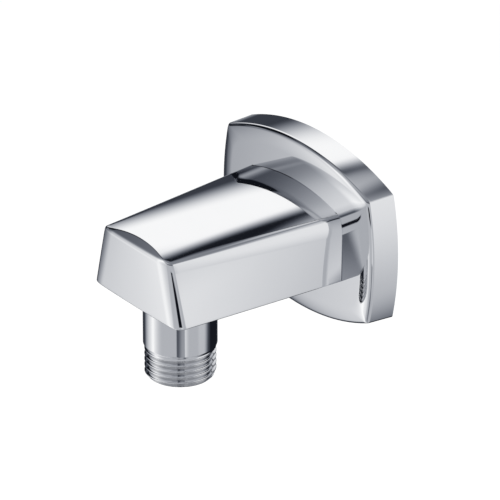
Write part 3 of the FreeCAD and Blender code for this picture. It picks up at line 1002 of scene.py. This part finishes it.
def outlet_tube():
    """Outlet tube with its thread, turned to hang from the arm."""
    top = ARM_BOTTOM - OUTLET_SPIGOT_LENGTH
    thread_top = OUTLET_END - OUTLET_THREAD_LENGTH
    bore_top = OUTLET_END - OUTLET_BORE_DEPTH
    shank, spigot, bore = OUTLET_SHANK_RADIUS, OUTLET_SPIGOT_RADIUS, OUTLET_BORE
    step = shank - THREAD_RADIUS
    slope = (bore - OUTLET_KEY / math.sqrt(3)) / (bore - OUTLET_KEY / 2 + OUTLET_KEY_LAND)
    inside = (
        (bore + OUTLET_CHAMFER, OUTLET_END), (bore, OUTLET_END - OUTLET_CHAMFER),
        (bore, OUTLET_END - OUTLET_BORE_DEPTH / 2), (bore, bore_top),
    )
    outside = (
        (spigot - OUTLET_CHAMFER, top), (spigot, top + OUTLET_CHAMFER), (spigot, ARM_BOTTOM),
        (shank, ARM_BOTTOM), *((shank, ARM_BOTTOM + down) for down in SHANK_RINGS),
        (shank, thread_top - step - STEP_BREAK), (shank - STEP_INSET, thread_top - step),
        (THREAD_RADIUS + STEP_INSET, thread_top - STEP_FOOT), (THREAD_RADIUS, thread_top),
    )
    rings = [tube_ring(radius, below) for radius, below in inside]
    rings.append(key_ring(OUTLET_KEY, lambda radius: bore_top - (bore - radius) * slope))
    rings.append(key_ring(OUTLET_KEY, lambda radius: top))
    rings += [tube_ring(radius, below) for radius, below in outside]
    thread = wound_thread(OUTLET_THREAD_LENGTH, OUTLET_RUN_OUT, bore + OUTLET_CHAMFER, THREAD_FINISH)
    return threaded_piece(
        "outlet_tube", rings, thread, thread_top, lambda p: (p.x, -p.y - OUTLET_Y, -p.z))


outlet_tube_piece = outlet_tube()
report(outlet_tube_piece)

# %% [markdown]
# ## The wall connector
# This is the brass piece that screws into the wall. It has the same thread, so the same tree
# winds it, then a collar, a plain end for the arm to slide on, and grooves for two rubber rings
# and for the locking screw's point.

# %% The connector's rings and thread
CONNECTOR_PROFILE = (
    (THREAD_RADIUS, 0), (12, 0), (12, 3), (7, 3), (7, 13.1), (5.8, 14.3), (5.8, 17.7), (7, 18.9),
    (7, 21.4), (5.5, 21.4), (5.5, 23.4), (7, 23.4), (7, 25.6), (5.5, 25.6), (5.5, 27.6), (7, 27.6),
    (7, CONNECTOR_END - 0.6), (6.4, CONNECTOR_END),
)
CONNECTOR_KEY = 8.5
CONNECTOR_KEY_END = 28
CONNECTOR_MOUTH = 6.5
CONNECTOR_THREAD_LENGTH = 14
CONNECTOR_RUN_OUT = 0.8
CONNECTOR_BORE = (
    (4, CONNECTOR_KEY_END), (4, 2.5), (CONNECTOR_MOUTH, 0), (CONNECTOR_MOUTH, -CONNECTOR_THREAD_LENGTH),
)


def wall_connector():
    """Connector with its thread, laid along Y."""
    rings = [tube_ring(radius, -out) for radius, out in CONNECTOR_PROFILE]
    for out in (CONNECTOR_END, CONNECTOR_KEY_END):
        rings.append(key_ring(CONNECTOR_KEY, lambda radius: -out))
    rings += [tube_ring(radius, -out) for radius, out in CONNECTOR_BORE]
    thread = wound_thread(CONNECTOR_THREAD_LENGTH, CONNECTOR_RUN_OUT, CONNECTOR_MOUTH, THREAD_FINISH)
    return threaded_piece("wall_connector", rings, thread, 0, lambda p: (p.x, p.z, -p.y))


wall_connector_piece = wall_connector()
report(wall_connector_piece)

# %% [markdown]
# ## True flats
# A vertex normal is a mean of its faces, which would bend the mirror next to every small round.
# Weighting it by face area keeps the flats flat and leaves the whole bend to the round.

# %% Weighted normals on the four big pieces
for piece in (cover_plate, elbow_arm, outlet_tube_piece, wall_connector_piece):
    step = piece.modifiers.new("true flats", "WEIGHTED_NORMAL")
    step.mode = "FACE_AREA"
    step.weight = 100
    step.keep_sharp = True
    settle(piece)
    report(piece)

# %% [markdown]
# ## The studio
# Chrome has hardly a look of its own: it shows the studio. A photographer of bathroom fittings
# builds a tent of white paper with gaps, so that every flat catches a smooth grey and every edge
# a dark line. Here the tent is a sphere round the elbow that only mirror rays see. Its paper and
# its softboxes are soft-edged cards, each placed by its direction from the elbow: azimuth 0 is
# straight in front of the arm, 90 is its right side, and height 90 is overhead.

# %% One soft card of the tent
CARD_SIZES = ("Centre", "Half Width", "Side Softness", "Low", "High", "Edge Softness", "Lean")


def soft_card_group():
    """Mask of a card: 1 inside, 0 outside, with soft sides; all angles are in degrees."""
    sizes = dict.fromkeys(("Azimuth", "Height", *CARD_SIZES), 0.0)
    tree, given, result = new_group("soft_card", sizes, ["Mask"])
    leaned = given["Lean"].math("MULTIPLY_ADD", given["Height"], given["Centre"])
    aside = (given["Azimuth"] - leaned).math("WRAP", 180, -180).math("ABSOLUTE")
    mask = 1.0
    for room, softness in (
        (given["Half Width"] - aside, "Side Softness"),
        (given["Height"] - given["Low"], "Edge Softness"),
        (given["High"] - given["Height"], "Edge Softness"),
    ):
        half = given[softness] * 0.5
        mask = eased(room, half * -1, half) * mask
    plug(mask, result["Mask"])
    return tree


SOFT_CARD = soft_card_group()

# %% [markdown]
# ## Paper, softboxes and black flags
# White paper in front, on the right and behind gives the greys of the flats, one softbox high up
# on the left behind the arm lights its crown, and black flags, which take light away, draw the
# dark lines. Paper that is far from the lamps looks cooler, so the dim tones lean to blue.

# %% The tent's cards: the light of each, then its sizes in degrees
TENT_RADIUS = 0.3
TENT_DARK = 0.015
TENT_LEAST = 0.01
TENT_TINT = (1.13, 1.09, 1.0)
TENT_CARDS = {
    "front paper": (0.5, 6, 59, 27, -90, 40, 27, 0.2),
    "front strip": (0.78, -28, 3, 50, -90, 58, 10, 0),
    "upper front": (0.27, -26, 30, 58, 33, 90, 60, -0.23),
    "left glow": (0.13, -57, 20, 8, -90, 0, 10, -0.3),
    "right paper": (0.49, 107, 44, 26, -90, 70, 20, 0.5),
    "right softbox": (0.34, 121, 25, 12, -20, 60, 54, -0.17),
    "high softbox": (0.96, -70, 21, 24, 9, 52.5, 6.5, -1.2),
    "rear glow": (0.42, -152, 10, 14, 56, 66, 6, 0),
    "overhead paper": (0.24, 0, 180, 1, 61.5, 90, 7, 0),
    "dim left wall": (0.045, -100, 45, 30, -90, 50, 6, 0),
    "left paper": (0.28, -112, 30, 20, -13, -4, 6, 0),
    "back paper": (0.28, 180, 38, 24, -14, 40, 12, 0),
    "under flag": (-0.15, 42, 24, 10, -90, -34, 8, 0),
    "left flag": (-0.94, -81, 16, 12, 2, 40, 10, 0),
    "low flag": (-0.42, 47, 11, 4, -90, -23, 2, 0),
    "corner flag": (-0.6, 49, 13, 6, -8, -1, 3, 0),
}


# %% The tent
def new_material(name, bare=False):
    """Material and its tree, bare or with a Principled shader in it."""
    material = bpy.data.materials.new(name)
    material.use_nodes = True
    if bare:
        material.node_tree.nodes.clear()
    return material, material.node_tree


def object_place(tree):
    """Place on the object itself."""
    return Value(add_node(tree, "ShaderNodeTexCoord").outputs["Object"])


def tent_material():
    """Emission that adds up the cards over a dark room, a little bluer where it is dim."""
    material, tree = new_material("studio_tent", bare=True)
    x, y, z = split(object_place(tree))
    azimuth = x.math("ARCTAN2", y * -1).math("DEGREES")
    height = (z / TENT_RADIUS).math("ARCSINE").math("DEGREES")
    light = TENT_DARK
    for name, (power, *sizes) in TENT_CARDS.items():
        feeds = {"Azimuth": azimuth, "Height": height, **dict(zip(CARD_SIZES, sizes))}
        card = add_node(tree, "ShaderNodeGroup", feeds, node_tree=SOFT_CARD, label=name)
        light = Value(card.outputs[0]).math("MULTIPLY_ADD", power, light)
    light = light.math("MAXIMUM", TENT_LEAST)
    tones = {i: light.math("POWER", power) for i, power in enumerate(TENT_TINT)}
    colour = add_node(tree, "ShaderNodeCombineColor", tones).outputs[0]
    glow = add_node(tree, "ShaderNodeEmission", {"Color": colour})
    add_node(tree, "ShaderNodeOutputMaterial", {"Surface": glow.outputs[0]})
    return material


bpy.ops.mesh.primitive_uv_sphere_add(segments=96, ring_count=48, radius=TENT_RADIUS)
tent = bpy.context.object
tent.name = "studio_tent"
tent.data.materials.append(tent_material())
for ray in ("camera", "diffuse", "transmission", "volume_scatter", "shadow"):
    setattr(tent, "visible_" + ray, False)
print("cards in the tent:", ", ".join(TENT_CARDS))

# %% [markdown]
# ## Effects that the finishes share
# Three things make bare metal look made: buffing leaves soft patches of brighter and duller
# polish, a lathe leaves fine rings round its axis, and the roots of a thread are darker: tarnish on
# bare brass, and painted shade on the plated tube. Each is a node group, built once and placed in
# every finish with its own values. They work on the place on the piece, so they need no
# unwrapping and stay put when the camera moves.

# %% Patches of polish
ORIGIN = (0.0, 0.0, 0.0)


def polish_group():
    """Roughness that wanders between two values, and faint waves for a bump."""
    sizes = {"Place": ORIGIN, "Scale": 60.0, "Bright": 0.03, "Dull": 0.05}
    tree, given, result = new_group("polish_patches", sizes, ["Roughness", "Waves"])
    feeds = {"Vector": given["Place"], "Scale": given["Scale"], "Detail": 1.5}
    waves = Value(add_node(tree, "ShaderNodeTexNoise", feeds).outputs[0])
    plug(eased(waves, 0.35, 0.65, given["Bright"], given["Dull"]), result["Roughness"])
    plug(waves, result["Waves"])
    return tree


# %% Rings that a lathe leaves
def turning_group():
    """Height of fine rings round the Z axis; on an end face they run round it as well."""
    sizes = {"Place": ORIGIN, "Spacing": 0.0003}
    tree, given, result = new_group("turning_rings", sizes, ["Height", "Axis Distance"])
    x, y, z = split(given["Place"])
    distance = (x * x + y * y).math("SQRT")
    feeds = {"W": (z + distance) / given["Spacing"], "Scale": 1}
    rings = add_node(tree, "ShaderNodeTexNoise", feeds, noise_dimensions="1D")
    plug(rings.outputs[0], result["Height"])
    plug(distance, result["Axis Distance"])
    return tree


# %% Painted shade and tarnish in the roots of a thread
def root_group():
    """Mask that is 0 on a thread's crests and 1 in its roots, from the distance to the axis."""
    sizes = {"Axis Distance": 0.01, "Crest Radius": THREAD_RADIUS * MM, "Depth": THREAD_DEPTH * MM}
    tree, given, result = new_group("thread_roots", sizes, ["Mask"])
    below = given["Crest Radius"] - given["Axis Distance"]
    plug(eased(below, given["Depth"] * 0.3, given["Depth"]), result["Mask"])
    return tree


POLISH, TURNING, ROOTS = polish_group(), turning_group(), root_group()
print("shared effects:", POLISH.name, TURNING.name, ROOTS.name)

# %% [markdown]
# ## Metal finishes
# Plate and arm are one finish: bright nickel and chrome over buffed brass, a mirror with hardly a
# wave in it. The outlet tube has the same plating over turned brass, so its rings show, and its
# thread roots are darkened with painted shade. The connector is bare brass, yellow on the crests
# and brown with tarnish in the roots, and the screw is steel.
# They differ only in which effects they use, so one function makes all four.

# %% Helpers for a finish
def placed_group(tree, group, **values):
    """Group placed in a material, its inputs set by name; gives its outputs by name."""
    feeds = {label.replace("_", " "): value for label, value in values.items()}
    node = add_node(tree, "ShaderNodeGroup", feeds, node_tree=group)
    return {socket.name: Value(socket) for socket in node.outputs}


def polish(tree, place, scale, bright, dull):
    """Patches of polish of a given scale and roughness."""
    return placed_group(tree, POLISH, Place=place, Scale=scale, Bright=bright, Dull=dull)


def finish_with(tree, colours, mask, rough, height, relief):
    """Feed a Principled shader its colour, roughness and bump; the relief's depth is in metres."""
    shader = tree.nodes["Principled BSDF"].inputs
    mix = add_node(tree, "ShaderNodeMix", {0: mask}, data_type="RGBA")
    for slot, colour in zip([s for s in mix.inputs if s.type == "RGBA"], colours):
        slot.default_value = (*colour, 1)
    plug(next(s for s in mix.outputs if s.type == "RGBA"), shader["Base Color"])
    plug(rough, shader["Roughness"])
    bump = add_node(tree, "ShaderNodeBump", {"Height": height, "Distance": relief})
    plug(bump.outputs[0], shader["Normal"])
    return shader


# %% The four metals
def metal_finish(name, colours, patches, relief, axis=ORIGIN, tilt=0.0, spacing=0.0, root_roughness=0.0,
                 tarnished=False):
    """Metal with patches of polish, round its axis lathe rings, and darker, rougher thread roots: tarnish
    in patches where tarnished, else painted shade.
    """
    material, tree = new_material(name)
    frame_of_axis = {"Vector": object_place(tree), "Location": axis, "Rotation": (tilt, 0, 0)}
    place = Value(add_node(tree, "ShaderNodeMapping", frame_of_axis, vector_type="TEXTURE").outputs[0])
    patches = polish(tree, place, *patches)
    mask, rough, height = patches["Waves"], patches["Roughness"], patches["Waves"]
    if spacing:
        rings = placed_group(tree, TURNING, Place=place, Spacing=spacing)
        height = rings["Height"]
    if root_roughness:
        roots = placed_group(tree, ROOTS, Axis_Distance=rings["Axis Distance"])["Mask"]
        # The roots take the second colour: patchy tarnish on tarnished brass, painted shade on plated
        # metal.
        mask = roots * mask if tarnished else roots
        rough = mask.math("MULTIPLY_ADD", root_roughness, rough)
    finish_with(tree, colours, mask, rough, height, relief)["Metallic"].default_value = 1
    return material


# %% [markdown]
# ## Rubber finishes
# O-rings are moulded and shine a little where the grease sits. The gasket is a soft, porous
# rubber that gives way to uneven tiles, so its skin is dull and pitted.

# %% Moulded rubber and the porous gasket, and all the finishes
RUBBER_PATCHES = 250


def rubber_finish(name, colours, shine, grain, relief):
    """Black rubber with a fine grain, its tone and its shine wandering in patches."""
    material, tree = new_material(name)
    place = object_place(tree)
    patches = polish(tree, place, RUBBER_PATCHES, *shine)
    feeds = {"Scale": grain, "Vector": place}
    pits = add_node(tree, "ShaderNodeTexVoronoi", feeds, feature="SMOOTH_F1").outputs["Distance"]
    finish_with(tree, colours, patches["Waves"], patches["Roughness"], pits, relief)
    return material


FINISHES = {
    "chrome": metal_finish(
        "polished_chrome", ((0.88, 0.885, 0.895), (0.92, 0.925, 0.935)), (45, 0.025, 0.045), 1e-6),
    # The tube's second colour, laid into its thread roots, is painted shade.
    "turned_chrome": metal_finish(
        "turned_chrome", ((0.9, 0.905, 0.915), (0.62, 0.625, 0.64)), (80, 0.035, 0.06), 5e-7,
        axis=(0, -OUTLET_Y * MM, 0), spacing=0.00035, root_roughness=0.1),
    "brass": metal_finish(
        "turned_brass", ((0.8, 0.6, 0.3), (0.3, 0.18, 0.07)), (120, 0.24, 0.36), 8e-6,
        tilt=math.pi / 2, spacing=0.0005, root_roughness=0.2, tarnished=True),
    "steel": metal_finish(
        "plain_steel", ((0.42, 0.42, 0.44), (0.6, 0.6, 0.61)), (300, 0.3, 0.42), 5e-6,
        axis=(0, -SCREW_Y * MM, 0), spacing=0.0002),
    "rubber": rubber_finish(
        "moulded_rubber", ((0.012, 0.012, 0.014), (0.045, 0.045, 0.048)), (0.35, 0.55), 3500, 2e-5),
    "gasket": rubber_finish(
        "porous_rubber", ((0.035, 0.035, 0.037), (0.1, 0.1, 0.105)), (0.75, 0.95), 1400, 1.5e-4),
}
print("finishes:", ", ".join(FINISHES))

# %% [markdown]
# ## Dressing the pieces
# The four big pieces take the place of their plain solids, and the small seals and the screw keep
# theirs. Every solid gets its finish, the hidden ones too. The elbow has no moving part, so the
# four new pieces ride on the one body.

# %% Pieces for nodes, and a finish for every node
for piece, node, slot in (
    (cover_plate, "wall_plate", "chrome"), (elbow_arm, "arm_body", "chrome"),
    (outlet_tube_piece, "outlet_nipple", "turned_chrome"), (wall_connector_piece, "wall_nipple", "brass"),
):
    piece.data.materials.clear()
    piece.data.materials.append(FINISHES[slot])
    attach(piece, "root")
    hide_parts(node)

for subpart in frame["record"]["subparts"]:
    solid = frame["nodes"][subpart["node"]]
    for holder in solid.material_slots:
        holder.material = FINISHES[subpart["material_slot"]]
    print(subpart["node"], "wears", subpart["material_slot"])

# %% [markdown]
# ## Floor, lamps and background
# The elbow is shown against white, as in a catalogue. The floor lies well below it, so its shadow
# is soft, and the floor glows a little for the camera only, which lifts it to white and keeps the
# shadow. Seen from below it is clear. The lamps light the seals and the brass. Chrome doesn't
# see them, because it has the tent.

# %% The floor
FLOOR_DROP = 0.5
FLOOR_SIZE = 12
FLOOR_TONE = 0.8
FLOOR_GLOW = 0.4


def floor_material():
    """Pale matt floor that glows a little for the camera and is clear from below."""
    material, tree = new_material("studio_floor", bare=True)
    rays = add_node(tree, "ShaderNodeLightPath").outputs
    seen = Value(rays["Is Camera Ray"]).math("MAXIMUM", rays["Is Transmission Ray"])
    matt = add_node(tree, "ShaderNodeBsdfDiffuse", {"Color": (FLOOR_TONE, FLOOR_TONE, FLOOR_TONE, 1)})
    glow = add_node(tree, "ShaderNodeEmission", {"Strength": seen * FLOOR_GLOW})
    both = add_node(tree, "ShaderNodeAddShader", {0: matt.outputs[0], 1: glow.outputs[0]})
    behind = add_node(tree, "ShaderNodeNewGeometry").outputs["Backfacing"]
    clear = add_node(tree, "ShaderNodeBsdfTransparent").outputs[0]
    side = add_node(tree, "ShaderNodeMixShader", {0: behind, 1: both.outputs[0], 2: clear})
    add_node(tree, "ShaderNodeOutputMaterial", {"Surface": side.outputs[0]})
    return material


bpy.ops.mesh.primitive_plane_add(size=FLOOR_SIZE, location=(0, 0, -FLOOR_DROP))
floor = bpy.context.object
floor.name = "studio_floor"
floor.data.materials.append(floor_material())


# %% Soft lamps
def soft_lamp(name, azimuth, height, distance, size, power):
    """Square area lamp that faces the elbow from a direction; mirrors don't see it."""
    data = bpy.data.lights.new(name, "AREA")
    data.size = size
    data.energy = power
    lamp = add_object(name, data)
    a, h = math.radians(azimuth), math.radians(height)
    towards = Vector((math.sin(a) * math.cos(h), -math.cos(a) * math.cos(h), math.sin(h)))
    lamp.location = towards * distance
    lamp.rotation_euler = (-lamp.location).to_track_quat("-Z", "Y").to_euler()
    lamp.visible_glossy = False


soft_lamp("key_softbox", -60, 50, 1.6, 1.0, 9)
soft_lamp("fill_softbox", 100, 35, 1.8, 1.2, 6)
soft_lamp("back_softbox", 180, 30, 1.8, 1.2, 5)

# %% The world
WORLD_LIGHT = 0.55

world = bpy.data.worlds.new("studio")
bpy.context.scene.world = world
world.use_nodes = True
sky = world.node_tree
rays = add_node(sky, "ShaderNodeLightPath").outputs
seen = Value(rays["Is Camera Ray"])
for ray in ("Is Glossy Ray", "Is Transmission Ray"):
    seen = seen.math("MAXIMUM", rays[ray])
background = sky.nodes["Background"].inputs
background["Color"].default_value = (1, 1, 1, 1)
plug(seen.math("MULTIPLY_ADD", 1 - WORLD_LIGHT, WORLD_LIGHT), background["Strength"])
bpy.context.scene.view_settings.view_transform = "Standard"
